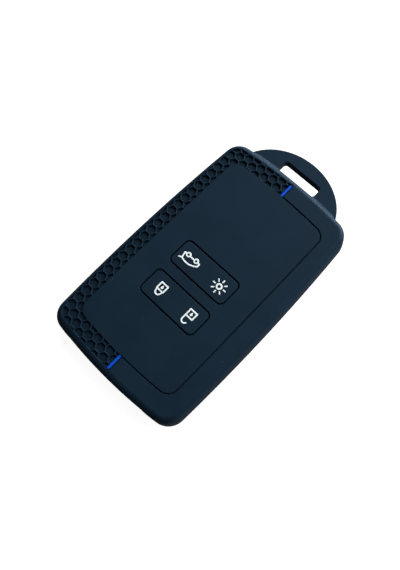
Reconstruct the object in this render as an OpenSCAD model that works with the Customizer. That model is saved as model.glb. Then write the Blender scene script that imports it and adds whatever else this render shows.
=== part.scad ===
// Soft silicone cover for a flat card key, with two button pads and a key ring tab.
// X is across the cover, Y runs towards the key ring tab and Z points out of the front face.
// The origin lies under the middle of the whole cover, on the surface that it rests on.

/* [Card key] */
// Width of the card key that the pocket holds
card_w = 44.3; // [42:0.1:48]
// Length of the card key
card_l = 74.9; // [73:0.1:82]
// Thickness of the card key
card_t = 9; // [8:0.1:11]
// Corner radius of the card key
card_corner_r = 3.5; // [3.2:0.1:8]
// Rounding of the card key's long edges
card_edge_r = 1.2; // [0.6:0.1:2]

/* [Silicone walls] */
// Thickness of the front wall
front_wall = 1.8; // [1.7:0.1:2.4]
// Thickness of the side and end walls at the widest line
side_wall = 2.1; // [1.6:0.1:3]
// Thickness of the back wall
back_wall = 1.6; // [1:0.1:2.4]
// Width of the lip that holds the card key at the back
window_lip = 3.4; // [2.5:0.1:6]
// Corner radius of the back window
window_corner_r = 4.5; // [3:0.1:8]

/* [Outside form] */
// Inset of the flat front face from the widest line on the long sides
side_inset = 2.45; // [1.2:0.05:2.6]
// Inset of the flat front face from the outermost line at the ends
end_inset = 2.2; // [1.2:0.05:2.4]
// Depth over which the front rolls into the long sides
side_roll = 6.2; // [4:0.1:7]
// Depth over which the front rolls into the ends
end_roll = 2; // [1.5:0.1:4]
// Radius of the gentle bow of the long sides
side_bow_r = 645; // [300:1:1200]
// Radius of the gentle bow of the ends
end_bow_r = 145; // [120:1:400]
// Distance of the widest line below the middle, towards the open end
widest_shift = 3.4; // [0:0.1:8]

/* [End slot] */
// Width of the slot in the end wall
end_slot_w = 32.8; // [20:0.1:34]
// Height of the slot in the end wall
end_slot_h = 8.2; // [5:0.1:8.4]
// Corner radius of the end slot
end_slot_r = 1.6; // [0.5:0.1:2.4]
// Depth of the front lip above the end slot
end_lip = 2.2; // [2:0.1:3]

/* [Front panel] */
// Distance from the cover's widest line to the panel's line, at the sides
panel_side_margin = 6.6; // [6:0.05:9]
// Distance from the cover's ends to the panel's line
panel_end_margin = 6.95; // [6.5:0.05:9]
// Distance of the panel from the centre line
panel_shift = -0.15; // [-1:0.05:1]
// Corner radius of the panel
panel_corner_r = 3.4; // [2:0.1:6]
// Radius of the gentle bow of the panel's ends
panel_end_r = 160; // [100:1:400]
// Radius of the almost straight sides of the panel
panel_side_r = 3000; // [1000:10:6000]
// Width of the line round the panel
line_w = 0.42; // [0.2:0.02:0.6]
// Depth of the line round the panel
line_d = 0.6; // [0.3:0.05:0.9]

/* [Honeycomb] */
// Rim left outside the honeycomb, from the widest line
comb_rim = 2.2; // [1.6:0.05:2.6]
// Distance between the middles of two neighbouring cells
cell_pitch = 2.8; // [2.4:0.05:3.4]
// Width of the ribs between the cells
rib_w = 0.36; // [0.2:0.02:0.6]
// Depth of the cells
cell_d = 0.5; // [0.4:0.05:0.9]
// Height of the first cell's middle above the panel's lower edge
cell_start = 0.6; // [0:0.05:1.4]

/* [Accent bars] */
// Width of a bar
bar_w = 0.8; // [0.6:0.05:1.6]
// Height of a bar
bar_t = 0.85; // [0.6:0.05:1]
// Depth of a bar's recess
bar_recess_d = 1; // [0.8:0.05:1.2]
// Space on each long side of a bar in its recess
bar_gap = 0.28; // [0.1:0.02:0.4]
// Space at each end of a bar in its recess
bar_end_gap = 0.2; // [0.1:0.01:0.3]

/* [Button pads] */
// Width of a pad
pad_w = 19.7; // [19:0.1:24]
// Length of a pad along the cover
pad_l = 8.05; // [7.4:0.05:9]
// Corner radius of a pad
pad_corner_r = 1.4; // [0.8:0.05:2]
// Width of the gap round a pad
pad_gap = 0.42; // [0.3:0.02:0.5]
// Distance between the middles of the two pads
pad_pitch = 11.95; // [11.5:0.05:14]
// Thickness of the web that carries a pad
web_t = 0.5; // [0.3:0.05:0.6]
// Width of the web under the edge of the pad and of the panel
web_seat = 0.6; // [0.4:0.05:0.8]
// Play round the web
web_gap = 0.05; // [0.02:0.01:0.08]

/* [Symbols] */
// Width of a symbol's strokes
stroke_w = 0.48; // [0.4:0.02:0.6]
// Thickness of a symbol
symbol_t = 0.35; // [0.25:0.05:0.5]
// Height of a symbol above its pad
symbol_proud = 0.05; // [0.02:0.01:0.1]
// Play round a symbol in its pad
symbol_gap = 0.03; // [0.02:0.01:0.06]
// Distance of the symbols from the pad's middle, towards the right
symbol_shift = 0.3; // [-0.6:0.1:0.6]
// Distance of the symbols from the pad's middle, towards the open end
symbol_drop = 0.3; // [0:0.05:0.6]
// Radius of the car's wheels
wheel_r = 0.82; // [0.6:0.02:0.9]
// Radius of the holes in the wheels and in the lamp
eye_r = 0.38; // [0.2:0.02:0.46]
// Distance between the car's axles
wheelbase = 2.9; // [2.6:0.1:3.2]
// Length of the car
car_l = 6; // [5.4:0.1:6.4]
// Height of the car's roof above its axles
car_h = 2.4; // [2:0.1:2.6]
// Radius of the lamp's ring
lamp_r = 1; // [0.8:0.05:1.1]
// Distance from the lamp's middle to a ray's inner end
ray_in = 1.3; // [1.25:0.05:1.5]
// Distance from the lamp's middle to a ray's outer end
ray_out = 2.4; // [2:0.05:2.6]
// Width of a padlock
lock_w = 2.8; // [2.7:0.05:3.2]
// Height of a padlock's case
lock_h = 2.6; // [2.5:0.05:3]
// Radius of the head of a padlock's keyhole
keyhole_r = 0.4; // [0.3:0.02:0.46]
// Height of the keyhole's head above the middle of the case
keyhole_up = 0.15; // [0:0.05:0.25]
// Reach of the keyhole's foot below the middle of the case
keyhole_foot = 0.52; // [0.4:0.02:0.6]
// Width of the keyhole's foot
keyhole_foot_w = 0.26; // [0.2:0.02:0.4]
// Radius of the closed shackle's bend at the middle of its stroke
shackle_r = 0.88; // [0.7:0.02:1]
// Height of the closed shackle's bend above the case
shackle_h = 0.6; // [0.4:0.05:0.9]
// Radius of the open shackle's bend at the middle of its stroke
hook_r = 0.86; // [0.8:0.02:1.1]
// Height of the open shackle's bend above the case
hook_h = 1.35; // [1:0.05:1.5]

/* [Key ring tab] */
// Distance that the tab reaches beyond the end of the cover
tab_reach = 8.3; // [7.4:0.1:12]
// Width of the whole ellipse that the tab is cut from
tab_w = 35.2; // [30:0.1:40]
// Half length of that ellipse along the cover
tab_bow = 15.15; // [13:0.05:20]
// Thickness of the tab
tab_t = 2.6; // [2:0.1:4]
// Height of the front face above the tab
tab_drop = 1.3; // [1:0.1:4]
// Width of the slot for a key ring or a strap
ring_slot_w = 13.5; // [10:0.1:16]
// Length of that slot along the cover
ring_slot_l = 4.1; // [4.1:0.1:4.6]
// Corner radius of that slot
ring_slot_r = 1; // [0.3:0.05:1.2]
// Depth that the slot bites into the end wall
ring_slot_bite = 0.35; // [0.1:0.05:0.5]

/* [Hidden] */
$fn = 48;

// Overrun of every cut
over = 0.5;
// How round the roll is from the front face into the walls
roll_power = 1.6;
// Points along half an end, a corner and a long side of an outline
end_steps = 6;
corner_steps = 6;
side_steps = 14;
// Levels of the body between a face and the middle, as shares of half the thickness
level_shares = [0, 0.02, 0.06, 0.12, 0.2, 0.32, 0.45, 0.65, 1];
// Levels of the pocket's rounded edge, as shares of its radius
edge_shares = [0, 0.15, 0.5, 1];
// Where a pad's symbols stand from its middle, as a share of half its width
symbol_place_share = 0.5685;
// Outline of the car from its tail over the roof to its nose, as shares of its half length and height
car_shares = [[1, 0.05], [0.84, 0.8], [0.3, 0.94], [-0.22, 0.9], [-0.7, 0.66], [-1, 0.42], [-1, 0.05]];
// Boot lid, which stands open behind the roof
lid_shares = [[0.78, 0.73], [1.22, 0.97]];
// Where the middle of the car's height lies above its axles
car_middle_share = 0.39;
// Where the top of a padlock's case lies above the symbol's middle
lock_top_share = 0.08;
// Where the closed shackle's legs stand, as a share of the case's half width
shackle_leg_share = 0.85;
// Stretches of a shackle's bend, and how far round the open one goes
bend_steps = 10;
hook_turn = 154;

cover_w = card_w + 2 * side_wall;
cover_l = card_l + 2 * side_wall;
cover_t = card_t + front_wall + back_wall;
corner_r = card_corner_r + side_wall;
half_t = cover_t / 2;
side_roll_d = min(side_roll, half_t);
end_roll_d = min(end_roll, half_t);
body_y = -(tab_reach + end_inset * (1 - roll(end_lip, end_roll_d))) / 2;
pocket_top = cover_t - front_wall;

panel_half_w = cover_w / 2 - panel_side_margin;
panel_half_l = cover_l / 2 - panel_end_margin;
comb_half_w = cover_w / 2 - comb_rim;
comb_half_l = cover_l / 2 - comb_rim;
bar_y = (comb_half_l + panel_half_l) / 2;
bar_recess_w = bar_w + 2 * bar_gap;
bar_recess_l = comb_half_l - panel_half_l + 2 * bar_end_gap;
bar_floor = cover_t - bar_recess_d;

cell_step = cell_pitch * sqrt(3) / 2;
cell_r = (cell_pitch - rib_w) / sqrt(3);
first_cell_x = panel_shift - (panel_half_w + comb_half_w) / 2;
first_cell_y = cell_start - panel_half_l;
cell_columns = ceil(-first_cell_x / cell_step);
cell_rows = ceil((comb_half_l - first_cell_y) / cell_pitch) + 1;

upper_pad_y = 0;
lower_pad_y = -pad_pitch;
web_in = web_seat;
web_out = pad_gap + web_seat;

tab_top = cover_t - tab_drop;
tab_middle_y = cover_l / 2 + tab_reach - tab_bow;
tab_root_y = card_l / 2 + side_wall / 4;
ring_slot_y = cover_l / 2 - ring_slot_bite;

silicone = "#1d2c39";
silicone_dark = "#16222d";
white_ink = "#f2f4f5";
accent_blue = "#1b57cf";

// Points of an arc about c from angle a0 to a1
function arc(c, r, a0, a1, steps) =
    [for (i = [0:steps]) let (a = a0 + (a1 - a0) * i / steps) c + r * [cos(a), sin(a)]];

// The list without its first point
function tail(list) = [for (i = [1:len(list) - 1]) list[i]];

// The direction of a vector
function heading(v) = atan2(v[1], v[0]);

// Where a circle about a and one about b cross, on the side that s names
function crossing(a, ra, b, rb, s) =
    let (d = norm(b - a), u = (b - a) / d)
    let (m = (d * d + ra * ra - rb * rb) / (2 * d))
    a + m * u + s * sqrt(ra * ra - m * m) * [-u[1], u[0]];

// A rectangle with bowed sides and ends and round corners, all tangent to each other
function bowed_outline(half_w, half_l, side_r, end_r, r, shift) =
    let (side_c = [half_w - side_r, -shift])
    let (top_c = [0, half_l - end_r], low_c = [0, end_r - half_l])
    let (top_k = crossing(side_c, side_r - r, top_c, end_r - r, 1))
    let (low_k = crossing(side_c, side_r - r, low_c, end_r - r, -1))
    let (low_end = heading(low_k - low_c), low_side = heading(low_k - side_c))
    let (top_side = heading(top_k - side_c), top_end = heading(top_k - top_c))
    let (right = concat(
        arc(low_c, end_r, -90, low_end, end_steps),
        tail(arc(low_k, r, low_end, low_side, corner_steps)),
        tail(arc(side_c, side_r, low_side, top_side, side_steps)),
        tail(arc(top_k, r, top_side, top_end, corner_steps)),
        tail(arc(top_c, end_r, top_end, 90, end_steps))))
    concat(right, [for (i = [len(right) - 2:-1:1]) [-right[i][0], right[i][1]]]);

// The cover's outline drawn in by one distance at the sides and one at the ends
function cover_outline(at_sides, at_ends) =
    bowed_outline(cover_w / 2 - at_sides, cover_l / 2 - at_ends, side_bow_r - at_sides,
        end_bow_r - at_ends, corner_r - (at_sides + at_ends) / 2, widest_shift);

// The panel's outline, grown by g
function panel_outline(g) =
    [for (p = bowed_outline(panel_half_w + g, panel_half_l + g, panel_side_r + g, panel_end_r + g,
        panel_corner_r + g, 0)) p + [panel_shift, 0]];

// How far the roll has come at a depth below the face, from 0 to 1
function roll(depth, whole) = sqrt(1 - pow(1 - min(depth / whole, 1), roll_power));

// One level of the outside form, depth below its nearer face
function body_level(depth, z) =
    [z, side_inset * (1 - roll(depth, side_roll_d)), end_inset * (1 - roll(depth, end_roll_d))];

// One level of the pocket, where share runs from its floor or ceiling to its full width
function pocket_level(share, z) =
    let (inset = side_wall + card_edge_r * (1 - sqrt(1 - pow(1 - share, 2))))
    [z, inset, inset];

body_levels = concat(
    [for (s = level_shares) body_level(s * half_t, s * half_t)],
    [for (i = [len(level_shares) - 2:-1:0])
        body_level(level_shares[i] * half_t, cover_t - level_shares[i] * half_t)]);

pocket_levels = concat(
    [for (s = edge_shares) pocket_level(s, back_wall + s * card_edge_r)],
    [for (i = [len(edge_shares) - 1:-1:0])
        pocket_level(edge_shares[i], pocket_top - edge_shares[i] * card_edge_r)]);

// A closed skin through the cover's outline at each level
module loft(levels) {
    rings = [for (v = levels) [for (p = cover_outline(v[1], v[2])) [p[0], p[1], v[0]]]];
    n = len(rings[0]);
    last = len(rings) - 1;
    sides = [for (k = [0:last - 1], i = [0:n - 1]) let (j = (i + 1) % n)
        each [[k * n + i, (k + 1) * n + i, (k + 1) * n + j], [k * n + i, (k + 1) * n + j, k * n + j]]];
    foot = [for (i = [0:n - 1]) i];
    head = [for (i = [n - 1:-1:0]) last * n + i];
    polyhedron(points = [for (ring = rings) each ring], faces = concat(sides, [foot, head]));
}

// A flat plate with round corners, centred on the origin
module plate(w, l, r, t) {
    linear_extrude(t) {
        square([w - 2 * r, l], center = true);
        square([w, l - 2 * r], center = true);
        for (x = [r - w / 2, w / 2 - r], y = [r - l / 2, l / 2 - r])
            translate([x, y]) circle(r);
    }
}

// The half of a wide flat field that lies left of the bars, or right of them
module beside_bars(side) {
    translate([side * cover_w / 2, 0]) square([cover_w, 2 * cover_l], center = true);
}

module in_cover() {
    translate([0, body_y, 0]) children();
}

module on_pad(y) {
    in_cover() translate([0, y, 0]) children();
}

// Middles of the cells, without those that lie wholly under the panel
cells = [for (j = [-1:cell_columns], i = [-cell_columns:cell_rows])
    let (x = first_cell_x + j * cell_step, y = first_cell_y + (i + j / 2) * cell_pitch)
    let (beside_panel = x < cell_r + panel_shift - panel_half_w)
    if (abs(y) < comb_half_l + cell_r && (beside_panel || abs(y) > panel_half_l - panel_corner_r)) [x, y]];

// Cells sunk into the face from the panel's edge to the rim, left of the bars
module honeycomb_cells() {
    translate([0, 0, cover_t - cell_d]) linear_extrude(cell_d + over) intersection() {
        difference() {
            polygon(cover_outline(comb_rim, comb_rim));
            polygon(panel_outline(0));
        }
        beside_bars(-1);
        for (c = cells) translate(c) circle(cell_r, $fn = 6);
    }
}

// The line round the panel, which goes on where the honeycomb ends
module panel_line() {
    translate([0, 0, cover_t - line_d]) linear_extrude(line_d + over) intersection() {
        difference() {
            polygon(panel_outline(line_w / 2));
            polygon(panel_outline(-line_w / 2));
        }
        beside_bars(1);
    }
}

module bar_recess(side) {
    translate([-bar_recess_w / 2, side * bar_y - bar_recess_l / 2, bar_floor])
        cube([bar_recess_w, bar_recess_l, bar_recess_d + over]);
}

// Opening for a pad through the front wall, with the seat of its web below
module pad_opening(y) {
    translate([0, y, 0]) {
        translate([0, 0, pocket_top - over])
            plate(pad_w + 2 * pad_gap, pad_l + 2 * pad_gap, pad_corner_r + pad_gap,
                front_wall + 2 * over);
        translate([0, 0, pocket_top - over])
            plate(pad_w + 2 * (web_out + web_gap), pad_l + 2 * (web_out + web_gap),
                pad_corner_r + web_out + web_gap, web_t + web_gap + over);
    }
}

module back_window() {
    translate([0, 0, -over])
        plate(card_w - 2 * window_lip, card_l - 2 * window_lip, window_corner_r,
            back_wall + card_edge_r + over);
}

// Slot in the end wall, under the front lip
module end_slot() {
    slot_top = cover_t - end_lip;
    translate([0, card_edge_r - card_l / 2, slot_top - end_slot_h / 2]) rotate([90, 0, 0])
        plate(end_slot_w, end_slot_h, end_slot_r, card_edge_r + side_wall + over);
}

module ring_slot() {
    translate([0, ring_slot_y + ring_slot_l / 2, tab_top - tab_t - over])
        plate(ring_slot_w, ring_slot_l, ring_slot_r, tab_t + 2 * over);
}

module ring_tab() {
    root = asin((tab_root_y - tab_middle_y) / tab_bow);
    translate([0, 0, tab_top - tab_t]) linear_extrude(tab_t)
        polygon([for (p = arc([0, 0], 1, root, 180 - root, 4 * end_steps))
            [p[0] * tab_w / 2, tab_middle_y + p[1] * tab_bow]]);
}

module cover_body() {
    color(silicone) in_cover() difference() {
        union() {
            loft(body_levels);
            ring_tab();
        }
        loft(pocket_levels);
        back_window();
        end_slot();
        ring_slot();
        honeycomb_cells();
        panel_line();
        for (side = [-1, 1]) bar_recess(side);
        for (y = [upper_pad_y, lower_pad_y]) pad_opening(y);
    }
}

// A bar stands on the floor of its recess, between the panel and the rim
module accent_bar(side) {
    bar_l = bar_recess_l - 2 * bar_end_gap;
    color(accent_blue) in_cover()
        translate([-bar_w / 2, side * bar_y - bar_l / 2, bar_floor]) cube([bar_w, bar_l, bar_t]);
}

module upper_accent_bar() {
    accent_bar(1);
}

module lower_accent_bar() {
    accent_bar(-1);
}

// Thin web under the gap round a pad, which bends when the pad is pressed
module pad_web(y) {
    color(silicone_dark) on_pad(y) translate([0, 0, pocket_top]) difference() {
        plate(pad_w + 2 * web_out, pad_l + 2 * web_out, pad_corner_r + web_out, web_t);
        translate([0, 0, -over])
            plate(pad_w - 2 * web_in, pad_l - 2 * web_in, pad_corner_r - web_in, web_t + 2 * over);
    }
}

module upper_pad_web() {
    pad_web(upper_pad_y);
}

module lower_pad_web() {
    pad_web(lower_pad_y);
}

// The symbols read upright when the cover hangs from its tab, so each is turned round on its pad
module at_symbol(side) {
    x = symbol_shift + side * symbol_place_share * pad_w / 2;
    translate([x, -symbol_drop, 0]) rotate(180) children();
}

// The direction square to the left of a stretch from a to b
function leftward(a, b) = [a[1] - b[1], b[0] - a[0]] / norm(b - a);

// A point moved sideways by s from where two stretches with normals n and m meet
function mitred(p, n, m, s) = p + s * (n + m) / (1 + n * m);

// A path moved sideways by s, closed on itself or open
function beside(path, s, closed) =
    let (n = len(path), first = leftward(path[0], path[1]))
    [for (i = [0:n - 1])
        let (before = closed || i > 0 ? leftward(path[(i + n - 1) % n], path[i]) : first)
        let (after = closed || i < n - 1 ? leftward(path[i], path[(i + 1) % n]) : before)
        mitred(path[i], before, after, s)];

// A stroke of one width along an open path
module stroke(path, w) {
    left = beside(path, w / 2, false);
    right = beside(path, -w / 2, false);
    polygon(concat(right, [for (i = [len(left) - 1:-1:0]) left[i]]));
}

// Points given as shares of a width and a height
function scaled(shares, w, h) = [for (p = shares) [p[0] * w, p[1] * h]];

// A car with its boot lid up, grown by g
module boot_shape(g) {
    w = stroke_w + 2 * g;
    half = (car_l - stroke_w) / 2;
    shell = scaled(car_shares, half, car_h);
    translate([0, -car_middle_share * car_h]) difference() {
        union() {
            difference() {
                polygon(beside(shell, -w / 2, true));
                polygon(beside(shell, w / 2, true));
            }
            stroke(scaled(lid_shares, half, car_h), w);
            for (x = [-wheelbase / 2, wheelbase / 2]) translate([x, 0]) circle(wheel_r + g);
        }
        for (x = [-wheelbase / 2, wheelbase / 2]) translate([x, 0]) circle(eye_r - g);
    }
}

// A lamp with eight rays, grown by g
module light_shape(g) {
    difference() {
        circle(lamp_r + g);
        circle(eye_r - g);
    }
    for (i = [0:7]) rotate(i * 45) stroke([[ray_in - g, 0], [ray_out + g, 0]], stroke_w + 2 * g);
}

// A keyhole with a round head and a narrow foot, the middle of the case on the origin
module keyhole(g) {
    foot = keyhole_foot_w / 2 + g;
    head = arc([0, keyhole_up], keyhole_r + g, 0, 180, bend_steps);
    polygon(concat(head, [[-foot, -keyhole_foot - g], [foot, -keyhole_foot - g]]));
}

// The case of a padlock with its keyhole, the middle of its upper edge on the origin
module lock_case(g) {
    w = stroke_w + 2 * g;
    drop = (lock_h - stroke_w) / 2;
    translate([0, -drop]) {
        difference() {
            square([lock_w + 2 * g, lock_h + 2 * g], center = true);
            square([lock_w - stroke_w - w, lock_h - stroke_w - w], center = true);
        }
        keyhole(g);
    }
}

module lock_shape(g) {
    leg = shackle_leg_share * (lock_w - stroke_w) / 2;
    bend = arc([0, shackle_h], shackle_r, 0, 180, bend_steps);
    translate([0, lock_top_share * lock_h]) {
        lock_case(g);
        stroke(concat([[leg, 0]], bend, [[-leg, 0]]), stroke_w + 2 * g);
    }
}

module unlock_shape(g) {
    leg = (lock_w - stroke_w) / 2;
    bend = arc([leg - hook_r, hook_h], hook_r, 0, hook_turn, bend_steps);
    translate([0, lock_top_share * lock_h]) {
        lock_case(g);
        stroke(concat([[leg, 0]], bend), stroke_w + 2 * g);
    }
}

// A pad with the recesses of its two symbols
module button_pad(y) {
    color(silicone) on_pad(y) difference() {
        translate([0, 0, pocket_top]) plate(pad_w, pad_l, pad_corner_r, front_wall);
        translate([0, 0, pocket_top - over]) difference() {
            plate(pad_w + 2 * over, pad_l + 2 * over, pad_corner_r + over, web_t + web_gap + over);
            plate(pad_w - 2 * (web_in + web_gap), pad_l - 2 * (web_in + web_gap),
                pad_corner_r - web_in - web_gap, web_t + web_gap + 2 * over);
        }
        translate([0, 0, cover_t + symbol_proud - symbol_t]) linear_extrude(symbol_t + over)
            children();
    }
}

module symbol(y, side) {
    color(white_ink) on_pad(y) at_symbol(side)
        translate([0, 0, cover_t + symbol_proud - symbol_t]) linear_extrude(symbol_t) children();
}

module upper_button_pad() {
    button_pad(upper_pad_y) {
        union() {
            at_symbol(-1) boot_shape(symbol_gap);
            at_symbol(1) light_shape(symbol_gap);
        }
    }
}

module lower_button_pad() {
    button_pad(lower_pad_y) {
        union() {
            at_symbol(-1) lock_shape(symbol_gap);
            at_symbol(1) unlock_shape(symbol_gap);
        }
    }
}

module boot_symbol() {
    symbol(upper_pad_y, -1) boot_shape(0);
}

module light_symbol() {
    symbol(upper_pad_y, 1) light_shape(0);
}

module lock_symbol() {
    symbol(lower_pad_y, -1) lock_shape(0);
}

module unlock_symbol() {
    symbol(lower_pad_y, 1) unlock_shape(0);
}

cover_body();
upper_accent_bar();
lower_accent_bar();
upper_pad_web();
lower_pad_web();
upper_button_pad();
lower_button_pad();
boot_symbol();
light_symbol();
lock_symbol();
unlock_symbol();
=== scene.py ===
"""Looks of a soft silicone cover for a flat card key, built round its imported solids.

Shapes are worked out in millimetres in the frame of the part and turned into metres at the end.
Outlines run anticlockwise.
"""
import math

import bmesh
import bpy
import numpy as np
from mathutils import Matrix, Vector


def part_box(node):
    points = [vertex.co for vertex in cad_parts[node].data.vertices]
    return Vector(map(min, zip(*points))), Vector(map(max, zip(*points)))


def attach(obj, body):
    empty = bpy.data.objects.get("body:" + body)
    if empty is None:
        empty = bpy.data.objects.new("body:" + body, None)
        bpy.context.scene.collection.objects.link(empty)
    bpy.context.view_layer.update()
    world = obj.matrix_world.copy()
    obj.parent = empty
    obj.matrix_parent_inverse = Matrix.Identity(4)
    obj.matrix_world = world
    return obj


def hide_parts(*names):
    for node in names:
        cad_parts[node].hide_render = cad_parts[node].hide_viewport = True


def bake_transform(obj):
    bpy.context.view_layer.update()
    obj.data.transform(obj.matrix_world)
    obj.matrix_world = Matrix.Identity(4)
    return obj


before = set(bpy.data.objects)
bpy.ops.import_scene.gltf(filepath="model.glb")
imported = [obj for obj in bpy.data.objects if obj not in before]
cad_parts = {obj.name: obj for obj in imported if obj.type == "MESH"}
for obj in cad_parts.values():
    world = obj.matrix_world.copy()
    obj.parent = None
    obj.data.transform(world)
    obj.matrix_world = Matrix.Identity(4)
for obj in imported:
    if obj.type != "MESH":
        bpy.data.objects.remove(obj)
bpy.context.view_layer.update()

MM = 0.001


def node_box(node):
    """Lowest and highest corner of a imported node, in millimetres."""
    low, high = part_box(node)
    return np.array(low) / MM, np.array(high) / MM


# The cover's own sizes, those of the part, in millimetres
COVER_LOW, COVER_HIGH = node_box("cover_body")
COVER_W = COVER_HIGH[0] - COVER_LOW[0]
COVER_L = 79.1
FACE = node_box("upper_button_pad")[1][2]
CEILING = node_box("upper_button_pad")[0][2]
BACK_WALL, SIDE_WALL = 1.6, 2.1
KEY_EDGE_R = 1.2
CORNER_R = 5.6
SIDE_INSET, END_INSET = 2.45, 2.2
SIDE_ROLL, END_ROLL = 6.2, 2.0
ROLL_POWER = 1.6
SIDE_BOW_R, END_BOW_R = 645.0, 145.0
WIDEST_SHIFT = 3.4
TAB_REACH = 8.3
MIDDLE_Y = COVER_HIGH[1] - TAB_REACH - COVER_L / 2
TAB_END_Y, OPEN_END_Y = MIDDLE_Y + COVER_L / 2, MIDDLE_Y - COVER_L / 2

# Openings in the back and in the open end
WINDOW_LIP, WINDOW_R = 3.4, 4.5
END_SLOT_W, END_SLOT_H, END_SLOT_R = 32.8, 8.2, 1.6
END_LIP = 2.2

# Panel and the line round it
PANEL_HALF_W, PANEL_HALF_L, PANEL_SHIFT = 17.65, 32.6, -0.15
PANEL_R, PANEL_END_R, PANEL_SIDE_R = 3.4, 160.0, 3000.0
LINE_W, LINE_D = 0.42, 0.6

# Honeycomb, with deeper cells than in the solids, for their shade; CELL_ROWS reaches past both ends
COMB_RIM = 2.2
CELL_PITCH, RIB_W, CELL_D = 2.8, 0.36, 0.9
CELL_START = 0.6
CELL_ROWS = range(-12, 30)
RIM_DROP_POWER = 8

# Accent bars and their recesses
BARS_X = (node_box("upper_accent_bar")[0][0] + node_box("upper_accent_bar")[1][0]) / 2
BAR_RECESS_GAP, BAR_END_GAP, BAR_RECESS_D, BAR_RECESS_R = 0.28, 0.2, 1.0, 0.15

# Pads and the webs that carry them
PAD_GAP, PAD_R = 0.42, 1.4
WEB_SEAT, WEB_GAP, WEB_T, WEB_CREASE = 0.6, 0.05, 0.5, 0.1
# Room between a pad's edge and its web, for the web to stay clear of the pad when it tips
WEB_PLAY = 0.45

# Ring tab, its slot and the hollow rounding at its root
TAB_HALF_W, TAB_BOW = 17.6, 15.15
TAB_T, TAB_DROP = 2.6, 1.3
TAB_TOP = FACE - TAB_DROP
RING_SLOT_W, RING_SLOT_L, RING_SLOT_R = 13.5, 4.1, 1.0
# How far the slot reaches into the end wall, and past the tab's underside there
RING_SLOT_BITE, RING_SLOT_PAST = 0.35, 0.2
ROOT_HALF_W, ROOT_RISE, ROOT_RUN_OUT, ROOT_LEAST = 15.7, 0.45, 1.5, 0.01

# Symbols, upright about their own middle, with finer strokes than in the solids
STROKE_W = 0.45
SYMBOL_PITCH, SYMBOL_SHIFT, SYMBOL_DROP = 11.2, 0.3, 0.3
SYMBOL_T, SYMBOL_PROUD, SYMBOL_GAP = 0.35, 0.05, 0.03
WHEELBASE, CAR_L, CAR_H, WHEEL_R, EYE_R = 2.9, 6.0, 2.4, 0.82, 0.38
CAR_SHARES = [(1, 0.05), (0.84, 0.8), (0.3, 0.94), (-0.22, 0.9), (-0.7, 0.66), (-1, 0.42), (-1, 0.05)]
BOOT_LID_SHARES = [(0.83, 0.76), (1.16, 0.94)]
CAR_SILL_SHARE = 0.39
LAMP_R, LAMP_EYE_R, RAY_IN, RAY_OUT, RAY_W = 1.0, 0.5, 1.32, 2.4, 0.38
LOCK_W, LOCK_H, LOCK_TOP = 2.8, 2.6, 0.208
KEYHOLE_R, KEYHOLE_UP, KEYHOLE_FOOT, KEYHOLE_FOOT_W = 0.4, 0.15, 0.52, 0.26
SHACKLE_R, SHACKLE_H, SHACKLE_SHARE = 0.88, 0.6, 0.85
HOOK_R, HOOK_H, HOOK_TURN = 0.86, 1.35, math.radians(154)

# Roundings of the moulding's edges, in millimetres
RIB_ROUND, CELL_FLOOR_ROUND, CELL_CORNER_R = 0.13, 0.2, 0.3
LINE_ROUND, LINE_FLOOR_ROUND = 0.1, LINE_W / 2.5
BAR_FLOOR_ROUND, BAR_ROUND = 0.1, 0.14
PAD_ROUND = 0.16
TAB_ROUND, RING_SLOT_ROUND = 0.35, 0.15
LIP_ROUND = 0.5
INK_ROUND, RECESS_ROUND = 0.08, 0.01

# How far a cutter stands past what it cuts, and the least overlap of two forms
OVER = 0.5
SLIVER = 0.01

# Fineness of the meshes
END_STEPS, CORNER_STEPS, SIDE_STEPS = 10, 12, 24
ROUND_STEPS, KEY_EDGE_STEPS = 4, 6
CIRCLE_STEPS, EYE_STEPS, BEND_STEPS = 28, 16, 10
TAB_STEPS, ROOT_SECTIONS, ROOT_ARC_STEPS = 64, 41, 7
ROLL_STEPS, ROLL_STEP_LEAST, ROLL_STEP_GROWTH = 25, 0.012, 0.05
RIM_TURN, RIM_LIFT = math.radians(76), 0.15
FLAT_CREASE = math.radians(34)

# Colours in screen values from 0 to 255, each fresh and worn
NAVY = ((22, 38, 52), (24, 41, 55))
WHITE = ((243, 253, 253), (246, 254, 254))
BLUE = ((12, 78, 196), (18, 84, 204))
NAVY_GLOSS = (0.62, 0.79, 1.0)
MATT_ROUGHNESS, MATT_GLOSS, GRAIN_HEIGHT = (0.47, 0.54), 0.05, 0.01
GRAIN_PER_M, PATCHES_PER_M, SPECKS_PER_M, SPECK_R = 9000.0, 90.0, 420.0, 0.07
DUST_COLOUR, DUST_STRENGTH = (120, 126, 132), 0.35
FLOOR_GREY, FLOOR_GLOW, FLOOR_REACH = (0.4, 0.4, 0.4, 1), 0.95, 3.0

# Softboxes: place, width and height in metres, power in watts and colour
SOFTBOXES = {
    "low_window": ((0.0, 0.798, 0.056), 0.9, 0.1, 12.5, (0.72, 0.89, 1.0)),
    "ceiling_panel": ((0.082, 0.305, 0.45), 0.75, 0.5, 3.9, (1, 1, 1)),
    "corner_window": ((0.327, 0.7, 0.207), 0.5, 0.2, 3.0, (1, 1, 1))}
LIT_POINT = (0, 0, 0.01)

# The photograph's camera, solved from the honeycomb and the pads' lines, its place in millimetres
CAMERA_AT = (31.575, -39.98, 154.91)
CAMERA_FORWARD = (-0.2000, 0.2158, -0.9557)
CAMERA_UP = (-0.6620, 0.6893, 0.2942)
CAMERA_LENS, CAMERA_SENSOR = 33.87, 36.0


def arc(centre, r, a0, a1, steps):
    """Points of an arc about centre, angles in radians."""
    a = np.linspace(a0, a1, steps + 1)
    return np.array(centre) + r * np.stack([np.cos(a), np.sin(a)], axis=1)


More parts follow.
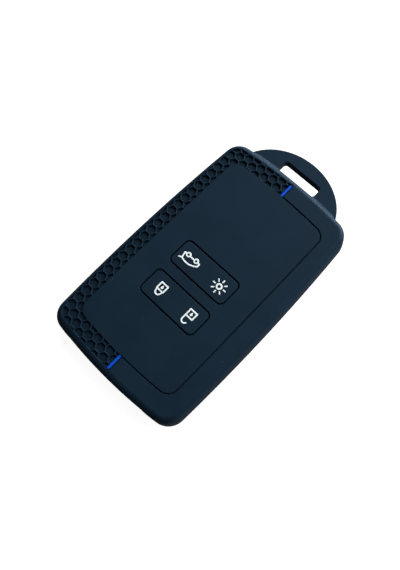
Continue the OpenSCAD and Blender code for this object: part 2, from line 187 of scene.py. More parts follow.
def crossing(a, ra, b, rb, side):
    """Where a circle about a and one about b cross, on the side that is named by 1 or -1."""
    gap = np.linalg.norm(b - a)
    u = (b - a) / gap
    m = (gap * gap + ra * ra - rb * rb) / (2 * gap)
    return a + m * u + side * math.sqrt(ra * ra - m * m) * np.array([-u[1], u[0]])


def heading(v):
    return math.atan2(v[1], v[0])


def bowed_outline(half_w, half_l, side_r, end_r, r, shift):
    """A rectangle with bowed sides and ends and round corners, anticlockwise from the open end."""
    side_c = np.array([half_w - side_r, -shift])
    top_c, low_c = np.array([0, half_l - end_r]), np.array([0, end_r - half_l])
    top_k = crossing(side_c, side_r - r, top_c, end_r - r, 1)
    low_k = crossing(side_c, side_r - r, low_c, end_r - r, -1)
    low_end, low_side = heading(low_k - low_c), heading(low_k - side_c)
    top_side, top_end = heading(top_k - side_c), heading(top_k - top_c)
    right = np.concatenate([
        arc(low_c, end_r, -math.pi / 2, low_end, END_STEPS),
        arc(low_k, r, low_end, low_side, CORNER_STEPS)[1:],
        arc(side_c, side_r, low_side, top_side, SIDE_STEPS)[1:],
        arc(top_k, r, top_side, top_end, CORNER_STEPS)[1:],
        arc(top_c, end_r, top_end, math.pi / 2, END_STEPS)[1:]])
    return np.concatenate([right, right[-2:0:-1] * (-1, 1)]) + (0, MIDDLE_Y)


def cover_outline(at_sides, at_ends):
    """The cover's outline drawn in by one distance at the sides and one at the ends."""
    return bowed_outline(
        COVER_W / 2 - at_sides, COVER_L / 2 - at_ends, SIDE_BOW_R - at_sides, END_BOW_R - at_ends,
        CORNER_R - (at_sides + at_ends) / 2, WIDEST_SHIFT)


def panel_outline(growth):
    return bowed_outline(
        PANEL_HALF_W + growth, PANEL_HALF_L + growth, PANEL_SIDE_R + growth, PANEL_END_R + growth,
        PANEL_R + growth, 0) + (PANEL_SHIFT, 0)


def rounded(corners, r, steps=6):
    """Outline of a polygon with turns to the left only, each corner rounded to radius r."""
    corners = np.asarray(corners, float)
    points = []
    for p, before, after in zip(corners, np.roll(corners, 1, 0), np.roll(corners, -1, 0)):
        a0 = heading(p - before) - math.pi / 2
        turn = (heading(after - p) - heading(p - before)) % (2 * math.pi)
        n, m = (np.array([math.cos(a), math.sin(a)]) for a in (a0, a0 + turn))
        points.append(arc(p - r * (n + m) / (1 + n @ m), r, a0, a0 + turn, steps))
    return np.concatenate(points)


def box_outline(centre, w, l, r, steps=6):
    x, y = w / 2, l / 2
    return rounded([(-x, -y), (x, -y), (x, y), (-x, y)], r, steps) + centre


def grown(outline, growth):
    """An outline moved outward by growth, with mitred corners."""
    step = np.roll(outline, -1, 0) - outline
    step /= np.linalg.norm(step, axis=1)[:, None]
    after = np.stack([step[:, 1], -step[:, 0]], axis=1)
    before = np.roll(after, 1, 0)
    return outline + growth * (before + after) / (1 + np.sum(before * after, axis=1))[:, None]


def level(outline, z):
    """The outline as a ring of points at height z, a number or one height for each point."""
    return np.column_stack([outline, np.broadcast_to(z, len(outline))])


def solid(name, rings):
    """A closed skin through rings of as many points, the lowest first."""
    n, count = len(rings[0]), len(rings)
    faces = [list(range(n))[::-1], list(range((count - 1) * n, count * n))]
    for k in range(count - 1):
        for i in range(n):
            j = (i + 1) % n
            faces.append([k * n + i, k * n + j, (k + 1) * n + j, (k + 1) * n + i])
    mesh = bpy.data.meshes.new(name)
    mesh.from_pydata(np.concatenate(rings).tolist(), [], faces)
    piece = bpy.data.objects.new(name, mesh)
    bpy.context.scene.collection.objects.link(piece)
    return piece


def quarter_turn(steps=ROUND_STEPS):
    """Angles from nothing to a right angle."""
    return np.linspace(0, math.pi / 2, steps + 1)


def quarter(r):
    """Sideways and upward distances along a quarter round, from its foot to its level end."""
    return [(r * (1 - math.cos(a)), r * math.sin(a)) for a in quarter_turn()]


def rim_flare(r):
    """Growth and height along a rim's rounding in a cutter, ending just above the face."""
    turns = np.linspace(0, RIM_TURN, ROUND_STEPS + 1)
    steps = [(r * (1 - math.cos(a)), r * (math.sin(a) - 1)) for a in turns]
    lift = RIM_LIFT * r
    growth, height = steps[-1]
    return steps + [(growth + (lift - height) / math.tan(math.pi / 2 - RIM_TURN), lift)]


def well(name, outline, floor, face, rim, floor_round):
    """A cutter that sinks the outline from face to floor, its rim and its floor's edge rounded."""
    rings = [level(outline, floor)]
    if floor_round:
        rings = [level(grown(outline, side - floor_round), floor + floor_round - rise)
                 for side, rise in quarter(floor_round)[::-1]]
    rings += [level(grown(outline, growth), face + height) for growth, height in rim_flare(rim)]
    rings.append(level(grown(outline, rim_flare(rim)[-1][0]), FACE + OVER))
    return solid(name, rings)


def island(name, outline, floor, face, rim, floor_round):
    """What stays standing inside a sunken ring: its rim rounded and its foot flared."""
    rings = [level(grown(outline, floor_round * (1 - math.sin(a))),
                   floor + floor_round * (1 - math.cos(a))) for a in quarter_turn()]
    rings.insert(0, level(grown(outline, floor_round), floor - OVER))
    rings += [level(grown(outline, -growth), face + height) for growth, height in rim_flare(rim)]
    rings.append(level(grown(outline, -rim_flare(rim)[-1][0]), FACE + 2 * OVER))
    return solid(name, rings)


def tablet(name, outline, foot, top, rim):
    """A solid with straight sides and a rounded upper rim."""
    rings = [level(outline, foot)]
    rings += [level(grown(outline, -side), top - rim + rise) for side, rise in quarter(rim)]
    return solid(name, rings)


def settle(piece):
    """Puts the result of a piece's modifiers in its mesh."""
    graph = bpy.context.evaluated_depsgraph_get()
    shape = bpy.data.meshes.new_from_object(piece.evaluated_get(graph))
    piece.modifiers.clear()
    piece.data = shape


def combine(piece, other, operation):
    """Joins, cuts or intersects a piece with another, which is used up."""
    step = piece.modifiers.new(operation, "BOOLEAN")
    step.operation, step.solver, step.object = operation, "MANIFOLD", other
    settle(piece)
    bpy.data.objects.remove(other)
    return piece


def cut(piece, *cutters):
    for cutter in cutters:
        combine(piece, cutter, "DIFFERENCE")
    return piece


def join(piece, *others):
    for other in others:
        combine(piece, other, "UNION")
    return piece


def gather(name, pieces):
    """Solids that don't meet, as one object."""
    mesh = bmesh.new()
    for piece in pieces:
        mesh.from_mesh(piece.data)
        bpy.data.objects.remove(piece)
    data = bpy.data.meshes.new(name)
    mesh.to_mesh(data)
    mesh.free()
    group = bpy.data.objects.new(name, data)
    bpy.context.scene.collection.objects.link(group)
    return group


def half_field(x, side):
    """A block that covers everything on one side of x."""
    far = side * COVER_W
    xs = sorted([x, x + far])
    corners = [(xs[0], -COVER_L), (xs[1], -COVER_L), (xs[1], COVER_L), (xs[0], COVER_L)]
    return solid("half_field", [level(np.array(corners), z) for z in (-OVER, FACE + 3 * OVER)])


def roll(depth, whole):
    """How far the edge has rolled out at a depth below its face, from 0 to 1."""
    return math.sqrt(1 - (1 - min(depth / whole, 1)) ** ROLL_POWER)


def edge_depth(share, whole):
    """The depth at which the edge has rolled out by a share."""
    return whole * (1 - (1 - share * share) ** (1 / ROLL_POWER))


def outer_form():
    """The rolled body without its openings, face and back alike."""
    depths = {round(edge_depth(share, whole), 4)
              for whole in (SIDE_ROLL, END_ROLL) for share in np.sin(quarter_turn(ROLL_STEPS))}
    kept = [0.0]
    for depth in sorted(depths):
        if depth - kept[-1] > ROLL_STEP_LEAST + ROLL_STEP_GROWTH * kept[-1] and depth < FACE / 2:
            kept.append(depth)
    kept.append(FACE / 2)

    def ring(depth, z):
        return level(cover_outline(SIDE_INSET * (1 - roll(depth, SIDE_ROLL)),
                                   END_INSET * (1 - roll(depth, END_ROLL))), z)

    lower, upper = [ring(d, d) for d in kept], [ring(d, FACE - d) for d in kept[-2::-1]]
    return solid("outer_form", lower + upper)


def pocket():
    """The space for the card key, its long edges rounded."""
    def ring(a, wall, way):
        inset = SIDE_WALL + KEY_EDGE_R * (1 - math.sin(a))
        return level(cover_outline(inset, inset), wall + way * KEY_EDGE_R * (1 - math.cos(a)))

    turns = quarter_turn(KEY_EDGE_STEPS)
    rings = [ring(a, BACK_WALL, 1) for a in turns] + [ring(a, CEILING, -1) for a in turns[::-1]]
    return solid("pocket", rings)


def back_window():
    """The opening that the card key goes in by, its lip rounded on both faces."""
    w, l = COVER_W - 2 * (SIDE_WALL + WINDOW_LIP), COVER_L - 2 * (SIDE_WALL + WINDOW_LIP)
    outline = box_outline((0, MIDDLE_Y), w, l, WINDOW_R, 10)
    flare = rim_flare(LIP_ROUND)
    rings = [level(grown(outline, flare[-1][0]), -OVER)]
    rings += [level(grown(outline, growth), -height) for growth, height in flare[::-1]]
    rings += [level(grown(outline, growth), BACK_WALL + height) for growth, height in flare]
    rings.append(level(grown(outline, flare[-1][0]), BACK_WALL + OVER))
    return solid("back_window", rings)


def end_wall(x, z, inset):
    """The y of the open end's outer face at x and height z, drawn in by inset."""
    drawn = np.array([END_INSET * (1 - roll(max(d, 0), END_ROLL)) for d in np.minimum(z, FACE - z)])
    return OPEN_END_Y + drawn + inset + x ** 2 / (2 * END_BOW_R)


def end_slot():
    """The slot in the open end's wall, its edges rounded outside and inside."""
    middle_z = FACE - END_LIP - END_SLOT_H / 2
    outline = box_outline((0, middle_z), END_SLOT_W, END_SLOT_H, END_SLOT_R, 8)
    flare = rim_flare(LIP_ROUND)
    inner = rim_flare(KEY_EDGE_R / 2)

    def ring(growth, inset):
        x, z = grown(outline, growth).T
        return np.column_stack([x, end_wall(x, z, inset), z])

    rings = [ring(flare[-1][0], -2 * OVER)]
    rings += [ring(growth, -height) for growth, height in flare[::-1]]
    rings += [ring(growth, SIDE_WALL + height) for growth, height in inner]
    rings.append(ring(inner[-1][0], SIDE_WALL + KEY_EDGE_R))
    return solid("end_slot", rings[::-1])


def ring_tab():
    """The flat tab with rounded edges, its root inside the end wall."""
    centre_y = TAB_END_Y + TAB_REACH - TAB_BOW
    root_y = TAB_END_Y - 0.75 * SIDE_WALL
    root = math.asin((root_y - centre_y) / TAB_BOW)
    outline = arc((0, 0), 1, root, math.pi - root, TAB_STEPS) * (TAB_HALF_W, TAB_BOW) + (0, centre_y)
    low = TAB_TOP - TAB_T + TAB_ROUND
    steps = quarter(TAB_ROUND)
    rings = [level(grown(outline, -side), low - rise) for side, rise in steps[::-1]]
    rings += [level(grown(outline, -side), TAB_TOP - TAB_ROUND + rise) for side, rise in steps]
    return solid("ring_tab", rings)


def root_fillet():
    """The hollow rounding between the tab's upper face and the rolled end wall.

    Each section touches the wall where it is rise above the tab, with the slope that the roll has
    there, and the rise runs out towards both ends of the tab."""
    rings = []
    for x in np.linspace(-ROOT_HALF_W, ROOT_HALF_W, ROOT_SECTIONS):
        rise = ROOT_RISE * math.sqrt(max(min((ROOT_HALF_W - abs(x)) / ROOT_RUN_OUT, 1), ROOT_LEAST))
        depth = TAB_DROP - rise
        left = 1 - depth / END_ROLL
        steepness = ROLL_POWER * left ** (ROLL_POWER - 1) / (2 * math.sqrt(1 - left ** ROLL_POWER))
        lean = math.atan2(END_ROLL, END_INSET * steepness)
        r = rise / (1 - math.cos(lean))
        wall = TAB_END_Y - END_INSET * (1 - roll(depth, END_ROLL)) - x * x / (2 * END_BOW_R)
        foot, inside, low = wall + r * math.sin(lean) - SLIVER, wall - OVER, TAB_TOP - OVER / 2
        hollow = [(foot - r * math.sin(a), TAB_TOP + r - r * math.cos(a))
                  for a in np.linspace(0, lean, ROOT_ARC_STEPS + 1)]
        section = [(foot, low), *hollow, (inside, TAB_TOP + rise), (inside, low)]
        rings.append(np.array([(x, y, z) for y, z in section]))
    return solid("root_fillet", rings)


def ring_slot():
    """The slot for a ring or strap, rounded on both faces but not where it runs along the wall."""
    near = TAB_END_Y - RING_SLOT_BITE
    outline = box_outline((0, near + RING_SLOT_L / 2), RING_SLOT_W, RING_SLOT_L, RING_SLOT_R)
    low = TAB_TOP - TAB_T
    flare = rim_flare(RING_SLOT_ROUND)

    def ring(growth, z):
        points = grown(outline, growth)
        points[:, 1] = np.maximum(points[:, 1], near)
        return level(points, z)

    rings = [ring(flare[-1][0], low - RING_SLOT_PAST)]
    rings += [ring(growth, low - height) for growth, height in flare[::-1]]
    rings += [ring(growth, TAB_TOP + height) for growth, height in flare]
    rings.append(ring(flare[-1][0], TAB_TOP + 2 * ROOT_RISE))
    return solid("ring_slot", rings)


def node_place(node):
    """Middle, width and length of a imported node, seen from the front."""
    low, high = node_box(node)
    return (low[:2] + high[:2]) / 2, high[0] - low[0], high[1] - low[1]


def bar_recess(node):
    """The hollow that an accent bar sits in, a little wider than the bar."""
    middle, w, l = node_place(node)
    outline = box_outline(middle, w + 2 * BAR_RECESS_GAP, l + 2 * BAR_END_GAP, BAR_RECESS_R, 3)
    return well("bar_recess", outline, FACE - BAR_RECESS_D, FACE, LINE_ROUND, BAR_FLOOR_ROUND)


def cells():
    """Middles of the cells, without those that lie wholly under the panel or past the bars."""
    step, r = CELL_PITCH * math.sqrt(3) / 2, CELL_PITCH / math.sqrt(3)
    half_w, half_l = COVER_W / 2 - COMB_RIM, COVER_L / 2 - COMB_RIM
    x0, y0 = PANEL_SHIFT - (PANEL_HALF_W + half_w) / 2, CELL_START - PANEL_HALF_L
    for j in range(-1, int((BARS_X - x0) / step) + 2):
        for i in CELL_ROWS:
            x, y = x0 + j * step, y0 + (i + j / 2) * CELL_PITCH
            beside_panel = x < r + PANEL_SHIFT - PANEL_HALF_W or abs(y) > PANEL_HALF_L - PANEL_R
            if abs(y) < half_l + r and beside_panel:
                yield x, y + MIDDLE_Y


def honeycomb():
    """All the cells as one cutter, kept between the panel and the rim, left of the bars."""
    floor, rounds = FACE - CELL_D, (RIB_ROUND, CELL_FLOOR_ROUND)
    r = (CELL_PITCH - RIB_W) / math.sqrt(3)
    corners = [(r * math.cos(a), r * math.sin(a)) for a in np.arange(6) * math.pi / 3]
    hexagon = rounded(corners, CELL_CORNER_R, 3)
    combs = gather("honeycomb", [well("cell", hexagon + middle, floor, FACE, *rounds) for middle in cells()])
    rim = cover_outline(COMB_RIM, COMB_RIM)
    lean = np.abs(rim[:, 0]) / (COVER_W / 2)
    drop = edge_depth(1 - COMB_RIM / SIDE_INSET, SIDE_ROLL) * lean ** RIM_DROP_POWER
    field = well("field", rim, floor - SLIVER, FACE - drop, *rounds)
    cut(field, island("panel", panel_outline(0), floor - SLIVER, FACE, *rounds), half_field(BARS_X, 1))
    return combine(combs, field, "INTERSECT")


def panel_line():
    """The line that goes on round the panel right of the bars."""
    levels, rounds = (FACE - LINE_D, FACE), (LINE_ROUND, LINE_FLOOR_ROUND)
    line = well("panel_line", panel_outline(LINE_W / 2), *levels, *rounds)
    inside = island("inside", panel_outline(-LINE_W / 2), *levels, *rounds)
    return cut(line, inside, half_field(BARS_X, -1))


def pad_outline(node, growth):
    middle, w, l = node_place(node)
    return box_outline(middle, w + 2 * growth, l + 2 * growth, PAD_R + growth, 8)


def pad_opening(node):
    """The hole round a pad, with the seat of its web under the front wall."""
    outline, low = pad_outline(node, PAD_GAP + WEB_SEAT + WEB_GAP), CEILING - OVER
    hole = well("pad_opening", pad_outline(node, PAD_GAP), low, FACE, LINE_ROUND, 0)
    seat = solid("web_seat", [level(outline, z) for z in (low, CEILING + WEB_T + WEB_GAP)])
    return join(hole, seat)


def smooth(piece):
    """Soft shading that keeps flat faces flat and only the sharpest creases sharp."""
    mesh = piece.data
    mesh.polygons.foreach_set("use_smooth", [True] * len(mesh.polygons))
    mesh.set_sharp_from_angle(angle=FLAT_CREASE)
    weighted = piece.modifiers.new("even_normals", "WEIGHTED_NORMAL")
    weighted.keep_sharp = True
    weighted.weight = 60
    settle(piece)


def place(piece, body, node, material):
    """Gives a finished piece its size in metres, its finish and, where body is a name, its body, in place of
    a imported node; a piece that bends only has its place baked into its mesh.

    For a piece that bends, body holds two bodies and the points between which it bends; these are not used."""
    smooth(piece)
    piece.data.transform(Matrix.Scale(MM, 4))
    piece.data.materials.clear()
    piece.data.materials.append(material)
    if isinstance(body, str):
        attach(piece, body)
    else:
        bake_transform(piece)
    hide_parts(node)
    return piece


def cover_shell():
    """The whole soft moulding with its openings, honeycomb, line and recesses."""
    shell = join(outer_form(), ring_tab(), root_fillet())
    cut(shell, pocket(), back_window(), end_slot(), ring_slot(), honeycomb(), panel_line(),
        bar_recess("upper_accent_bar"), bar_recess("lower_accent_bar"),
        pad_opening("upper_button_pad"), pad_opening("lower_button_pad"))
    shell.name = "cover_shell"
    return shell


def rounded_bar(name, node):
    low, high = node_box(node)
    return tablet(name, box_outline(*node_place(node), BAR_ROUND, 3), low[2], high[2], BAR_ROUND)


def web_ring(name, node, pad):
    """The thin web under the gap round a pad."""
    low, high = node_box(node)
    outer, inner = pad_outline(pad, PAD_GAP + WEB_SEAT), pad_outline(pad, -WEB_SEAT)
    ring = solid(name, [level(outer, z) for z in (low[2], high[2])])
    return cut(ring, solid("inside", [level(inner, z) for z in (low[2] - OVER, high[2] + OVER)]))


def creased(piece, start, end, steps=4):
    """Cross lines in a strip, so that it can bend between start and end."""
    mesh = bmesh.new()
    mesh.from_mesh(piece.data)
    way = Vector(end - start).normalized()
    for share in np.linspace(0, 1, steps + 1):
        whole = mesh.verts[:] + mesh.edges[:] + mesh.faces[:]
        at = Vector(start + share * (end - start))
        bmesh.ops.bisect_plane(mesh, geom=whole, plane_co=at, plane_no=way, dist=1e-5)
    mesh.to_mesh(piece.data)
    mesh.free()
    return piece


def web_strips(name, node, pad):
    """The web in six mitred strips, each with its side and where its bend starts and ends."""
    low, high = node_box(node)
    middle, w, l = node_place(pad)
    far, near = PAD_GAP + WEB_SEAT + OVER, -WEB_SEAT - OVER
    outer, inner = np.array((w / 2 + far, l / 2 + far)), np.array((w / 2 + near, l / 2 + near))
    leg = [outer * (1, -1), outer, inner, inner * (1, -1)]
    length = [outer * (0, 1), inner * (0, 1), inner, outer]
    strips = []
    for side, word in ((-1, "left"), (1, "right")):
        for number, (shape, up) in enumerate(((leg, 1), (length, 1), (length, -1))):
            corners = (middle + np.array(shape) * (side, up))[::side * up]
            block = solid("strip", [level(corners, z) for z in (low[2] - OVER, high[2] + OVER)])
            strip = combine(web_ring("%s_%s_%d" % (name, word, number), node, pad), block, "INTERSECT")
            way, half = ((side, 0), w / 2) if shape is leg else ((0, up), l / 2)
            start, end = (np.array((*(middle + np.array(way) * reach), low[2]))
                          for reach in (half + PAD_GAP + WEB_CREASE, half - WEB_CREASE))
            strips.append((creased(strip, start, end), side, start * MM, end * MM))
    return strips


def capsule(a, b, w, steps=6):
    """A stroke with round ends."""
    a, b = np.array(a, float), np.array(b, float)
    turn = heading(b - a)
    return np.concatenate([arc(a, w / 2, turn + math.pi / 2, turn + 3 * math.pi / 2, steps),
                           arc(b, w / 2, turn - math.pi / 2, turn + math.pi / 2, steps)])


def circle(centre, r, steps=CIRCLE_STEPS):
    return arc(centre, r, 0, 2 * math.pi, steps)[:-1]


def along(points):
    """Strokes from each point to the next."""
    return [capsule(a, b, STROKE_W) for a, b in zip(points[:-1], points[1:])]


def boot_shape():
    """Outlines to join and outlines to leave open, as in the other symbols' shapes."""
    half, sill = (CAR_L - STROKE_W) / 2, -CAR_SILL_SHARE * CAR_H
    shell, lid = ([(x * half, y * CAR_H + sill) for x, y in shares]
                  for shares in (CAR_SHARES, BOOT_LID_SHARES))
    wheels = [(x, sill) for x in (-WHEELBASE / 2, WHEELBASE / 2)]
    strokes = along(shell + shell[:1]) + along(lid)
    return strokes + [circle(c, WHEEL_R) for c in wheels], [circle(c, EYE_R, EYE_STEPS) for c in wheels]


def light_shape():
    reach = np.array((RAY_IN + RAY_W / 2, RAY_OUT - RAY_W / 2))
    rays = [capsule(*np.outer(reach, (math.cos(a), math.sin(a))), RAY_W) for a in np.arange(8) * math.pi / 4]
    return [circle((0, 0), LAMP_R)] + rays, [circle((0, 0), LAMP_EYE_R, EYE_STEPS)]


def lock_case():
    """The case of a padlock with its keyhole."""
    x, foot = (LOCK_W - STROKE_W) / 2, LOCK_TOP - (LOCK_H - STROKE_W)
    case = along([(-x, foot), (x, foot), (x, LOCK_TOP), (-x, LOCK_TOP), (-x, foot)])
    middle = (LOCK_TOP + foot) / 2
    keyhole = [*arc((0, middle + KEYHOLE_UP), KEYHOLE_R, 0, math.pi, BEND_STEPS),
               (-KEYHOLE_FOOT_W / 2, middle - KEYHOLE_FOOT), (KEYHOLE_FOOT_W / 2, middle - KEYHOLE_FOOT)]
    return case + [np.array(keyhole)]


def lock_shape():
    leg = SHACKLE_SHARE * (LOCK_W - STROKE_W) / 2
    bend = arc((0, LOCK_TOP + SHACKLE_H), SHACKLE_R, 0, math.pi, BEND_STEPS)
    return lock_case() + along([(leg, LOCK_TOP), *bend, (-leg, LOCK_TOP)]), []


def unlock_shape():
    leg = (LOCK_W - STROKE_W) / 2
    bend = arc((leg - HOOK_R, LOCK_TOP + HOOK_H), HOOK_R, 0, HOOK_TURN, BEND_STEPS)
    return lock_case() + along([(leg, LOCK_TOP), *bend]), []


def on_pad(outline, pad, side):
    """A symbol's outline turned upright for the hanging cover and put in its place on the pad."""
    middle = node_place(pad)[0] + (SYMBOL_SHIFT + side * SYMBOL_PITCH / 2, -SYMBOL_DROP)
    return middle - outline


def symbol(name, shape, pad, side, growth, top, rim):
    """A symbol's solid, grown all round by growth."""
    strokes, holes = ([on_pad(outline, pad, side) for outline in outlines] for outlines in shape)
    foot = FACE + SYMBOL_PROUD - SYMBOL_T
    piece = join(*[tablet(name, grown(stroke, growth), foot, top, rim) for stroke in strokes])
    ends = (foot - OVER, top + OVER)
    return cut(piece, *[solid("eye", [level(grown(hole, -growth), z) for z in ends]) for hole in holes])


def button_pad(name, pad, left, right):
    """A pad with a rounded edge, the seat of its web and the recesses of its two symbols."""
    outline, (low, high) = pad_outline(pad, 0), node_box(pad)
    core = pad_outline(pad, -WEB_SEAT - WEB_GAP)
    seat_top = low[2] + WEB_T + WEB_PLAY
    block = tablet(name, outline, seat_top, high[2], PAD_ROUND)
    join(block, solid("core", [level(core, low[2]), level(core, seat_top + OVER)]))
    return cut(block, *[symbol("recess", shape, pad, side, SYMBOL_GAP, FACE + OVER, RECESS_ROUND)
                        for shape, side in ((left, -1), (right, 1))])


def socket_group(name, inputs, outputs):
    """An empty shader node group with named inputs and outputs."""
    group = bpy.data.node_groups.new(name, "ShaderNodeTree")
    for label, kind, value in inputs:
        item = group.interface.new_socket(label, in_out="INPUT", socket_type=kind)
        item.default_value = value
    for label, kind in outputs:
        group.interface.new_socket(label, in_out="OUTPUT", socket_type=kind)
    return group, group.nodes.new("NodeGroupInput"), group.nodes.new("NodeGroupOutput")


def wire(tree, start, end):
    tree.links.new(start, end)


def maths(tree, operation, a, b, clamp=False):
    """The result of an operation on two numbers or outputs."""
    node = tree.nodes.new("ShaderNodeMath")
    node.operation, node.use_clamp = operation, clamp
    for value, place_in in ((a, node.inputs[0]), (b, node.inputs[1])):
        if isinstance(value, (int, float)):
            place_in.default_value = value
        else:
            wire(tree, value, place_in)
    return node.outputs[0]


def spread(tree, value, low, high, to_low, to_high):
    """Value from low to high, mapped to another range and held inside it."""
    node = tree.nodes.new("ShaderNodeMapRange")
    wire(tree, value, node.inputs["Value"])
    for label, number in (("From Min", low), ("From Max", high), ("To Min", to_low), ("To Max", to_high)):
        node.inputs[label].default_value = number
    return node.outputs["Result"]


def cloudy(tree, place_in, scale, detail):
    """Soft cloudy noise from 0 to 1."""
    noise = tree.nodes.new("ShaderNodeTexNoise")
    noise.inputs["Scale"].default_value = scale
    noise.inputs["Detail"].default_value = detail
    noise.inputs["Roughness"].default_value = 0.55
    wire(tree, place_in, noise.inputs["Vector"])
    return noise.outputs["Fac"]


def grain_group():
    """The fine matt skin of moulded silicone: a height for bump and a change of roughness."""
    group, start, end = socket_group(
        "moulded_grain", [("Grain Scale", "NodeSocketFloat", GRAIN_PER_M)],
        [("Height", "NodeSocketFloat"), ("Patch", "NodeSocketFloat")])
    place_in = group.nodes.new("ShaderNodeTexCoord").outputs["Object"]
    noise = group.nodes.new("ShaderNodeTexNoise")
    noise.inputs["Detail"].default_value = 3.0
    wire(group, place_in, noise.inputs["Vector"])
    wire(group, start.outputs["Grain Scale"], noise.inputs["Scale"])
    broad = cloudy(group, place_in, PATCHES_PER_M, 2.0)
    height = maths(group, "ADD", noise.outputs["Fac"], maths(group, "MULTIPLY", broad, 0.3))
    wire(group, height, end.inputs["Height"])
    wire(group, spread(group, broad, 0.35, 0.65, 0.0, 1.0), end.inputs["Patch"])
    return group


def dust_group():
    """A mask of the odd speck and short fibre of dust that clings to silicone."""
    group, start, end = socket_group(
        "clinging_dust", [("Amount", "NodeSocketFloat", 0.3)], [("Mask", "NodeSocketFloat")])
    place_in = group.nodes.new("ShaderNodeTexCoord").outputs["Object"]
    specks = group.nodes.new("ShaderNodeTexVoronoi")
    specks.inputs["Scale"].default_value = SPECKS_PER_M
    wire(group, place_in, specks.inputs["Vector"])
    near = spread(group, specks.outputs["Distance"], 0.0, SPECK_R, 1.0, 0.0)
    chosen = group.nodes.new("ShaderNodeSeparateColor")
    wire(group, specks.outputs["Color"], chosen.inputs["Color"])
    limit = maths(group, "SUBTRACT", 1.0, start.outputs["Amount"])
    kept = maths(group, "GREATER_THAN", chosen.outputs["Red"], limit)
    wire(group, maths(group, "MULTIPLY", near, kept, clamp=True), end.inputs["Mask"])
    return group


def linear(rgb):
    """A colour given in screen values from 0 to 255, as Blender's linear values."""
    values = [v / 255 for v in rgb]
    return [v / 12.92 if v <= 0.04045 else ((v + 0.055) / 1.055) ** 2.4 for v in values] + [1.0]


def tinted(tree, first, second, factor):
    """A mix node for two colours, either of which may still be wired."""
    node = tree.nodes.new("ShaderNodeMix")
    node.data_type = "RGBA"
    for label, colour in (("A", first), ("B", second)):
        if colour:
            node.inputs[label].default_value = linear(colour)
    wire(tree, factor, node.inputs["Factor"])
    return node


def silicone(name, colours, bump, groups, dust, gloss=(1, 1, 1)):
    """Matt moulded silicone in one colour, paler and duller where it is touched and dusty."""
    material = bpy.data.materials.new(name)
    material.use_nodes = True
    tree = material.node_tree
    shader = tree.nodes["Principled BSDF"]
    grain = tree.nodes.new("ShaderNodeGroup")
    grain.node_tree = groups["grain"]
    specks = tree.nodes.new("ShaderNodeGroup")
    specks.node_tree = groups["dust"]
    specks.inputs["Amount"].default_value = dust
    shade = tinted(tree, *colours, grain.outputs["Patch"])
    dusty = tinted(tree, None, DUST_COLOUR, maths(tree, "MULTIPLY", specks.outputs["Mask"], DUST_STRENGTH))
    wire(tree, shade.outputs["Result"], dusty.inputs["A"])
    wire(tree, dusty.outputs["Result"], shader.inputs["Base Color"])
    wire(tree, spread(tree, grain.outputs["Patch"], 0.0, 1.0, *MATT_ROUGHNESS), shader.inputs["Roughness"])
    shader.inputs["Specular IOR Level"].default_value = MATT_GLOSS
    shader.inputs["Specular Tint"].default_value = (*gloss, 1)
    relief = tree.nodes.new("ShaderNodeBump")
    relief.inputs["Strength"].default_value = bump
    relief.inputs["Distance"].default_value = GRAIN_HEIGHT * MM
    wire(tree, grain.outputs["Height"], relief.inputs["Height"])
    wire(tree, relief.outputs["Normal"], shader.inputs["Normal"])
    return material


def floor_material():
    """A pale floor that the camera sees as white, and that keeps the shadow."""
    material = bpy.data.materials.new("pale_floor")
    material.use_nodes = True
    tree = material.node_tree
    shader = tree.nodes["Principled BSDF"]
    shader.inputs["Base Color"].default_value = FLOOR_GREY
    shader.inputs["Roughness"].default_value = 0.9
    shader.inputs["Specular IOR Level"].default_value = 0.1
    path = tree.nodes.new("ShaderNodeLightPath")
    glow = maths(tree, "MULTIPLY", path.outputs["Is Camera Ray"], FLOOR_GLOW)
    wire(tree, glow, shader.inputs["Emission Strength"])
    shader.inputs["Emission Color"].default_value = (1, 1, 1, 1)
    return material


def floor():
    corners = [(x * FLOOR_REACH, y * FLOOR_REACH, 0) for x, y in ((-1, -1), (1, -1), (1, 1), (-1, 1))]
    mesh = bpy.data.meshes.new("floor")
    mesh.from_pydata(corners, [], [[0, 1, 2, 3]])
    ground = bpy.data.objects.new("floor", mesh)
    bpy.context.scene.collection.objects.link(ground)
    mesh.materials.append(floor_material())


def softbox(name, place_at, w, h, power, colour):
    """A rectangular lamp that faces the cover."""
    lamp = bpy.data.lights.new(name, "AREA")
    lamp.shape, lamp.size, lamp.size_y = "RECTANGLE", w, h
    lamp.energy, lamp.color = power, colour
    holder = bpy.data.objects.new(name, lamp)
    bpy.context.scene.collection.objects.link(holder)
    holder.location = place_at
    holder.rotation_euler = (Vector(LIT_POINT) - Vector(place_at)).to_track_quat("-Z", "Y").to_euler()


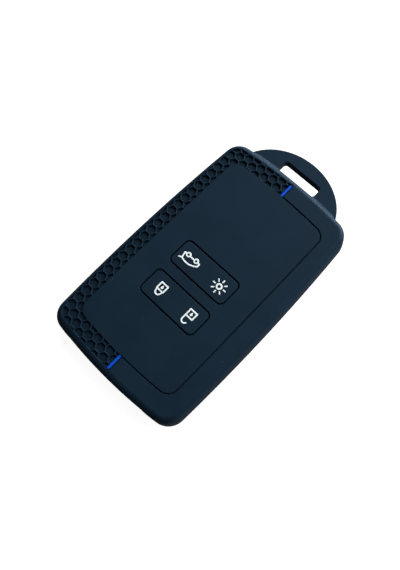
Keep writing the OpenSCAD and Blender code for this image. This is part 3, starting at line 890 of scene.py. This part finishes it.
def lights():
    """The softboxes, and a world that only the camera sees, as white."""
    for name, values in SOFTBOXES.items():
        softbox(name, *values)
    world = bpy.data.worlds.new("studio")
    bpy.context.scene.world = world
    world.use_nodes = True
    tree = world.node_tree
    back = tree.nodes["Background"]
    path = tree.nodes.new("ShaderNodeLightPath")
    back.inputs["Color"].default_value = (1, 1, 1, 1)
    wire(tree, path.outputs["Is Camera Ray"], back.inputs["Strength"])


def camera():
    back, up = -Vector(CAMERA_FORWARD).normalized(), Vector(CAMERA_UP)
    right = up.cross(back).normalized()
    up = back.cross(right)
    turn = Matrix((right, up, back)).transposed().to_4x4()
    data = bpy.data.cameras.new("camera")
    data.lens, data.sensor_width, data.clip_start = CAMERA_LENS, CAMERA_SENSOR, MM
    holder = bpy.data.objects.new("camera", data)
    bpy.context.scene.collection.objects.link(holder)
    holder.matrix_world = Matrix.Translation(Vector(CAMERA_AT) * MM) @ turn
    bpy.context.scene.camera = holder


def build():
    groups = {"grain": grain_group(), "dust": dust_group()}
    body = silicone("navy_silicone", NAVY, 0.12, groups, dust=0.3, gloss=NAVY_GLOSS)
    white = silicone("white_silicone", WHITE, 0.2, groups, dust=0.1)
    blue = silicone("blue_silicone", BLUE, 0.2, groups, dust=0.1)
    place(cover_shell(), "cover", "cover_body", body)
    for end in ("upper", "lower"):
        bar = end + "_accent_bar"
        place(rounded_bar(end + "_blue_bar", bar), "cover", bar, blue)
    shapes = {"boot": boot_shape(), "light": light_shape(), "lock": lock_shape(), "unlock": unlock_shape()}
    for end, left, right in (("upper", "boot", "light"), ("lower", "lock", "unlock")):
        pad = end + "_button_pad"
        for strip, side, start, stop in web_strips(end + "_web", end + "_pad_web", pad):
            bodies = ("cover", end + "_web") if side < 0 else (end + "_web", end + "_pad")
            place(strip, (*bodies, start, stop), end + "_pad_web", body)
        plate = button_pad(end + "_pad", pad, shapes[left], shapes[right])
        place(plate, end + "_pad", pad, body)
        for sign, side in ((left, -1), (right, 1)):
            ink = symbol(sign + "_ink", shapes[sign], pad, side, 0, FACE + SYMBOL_PROUD, INK_ROUND)
            place(ink, end + "_pad", sign + "_symbol", white)


build()
floor()
lights()
camera()
bpy.context.scene.view_settings.view_transform = "Standard"
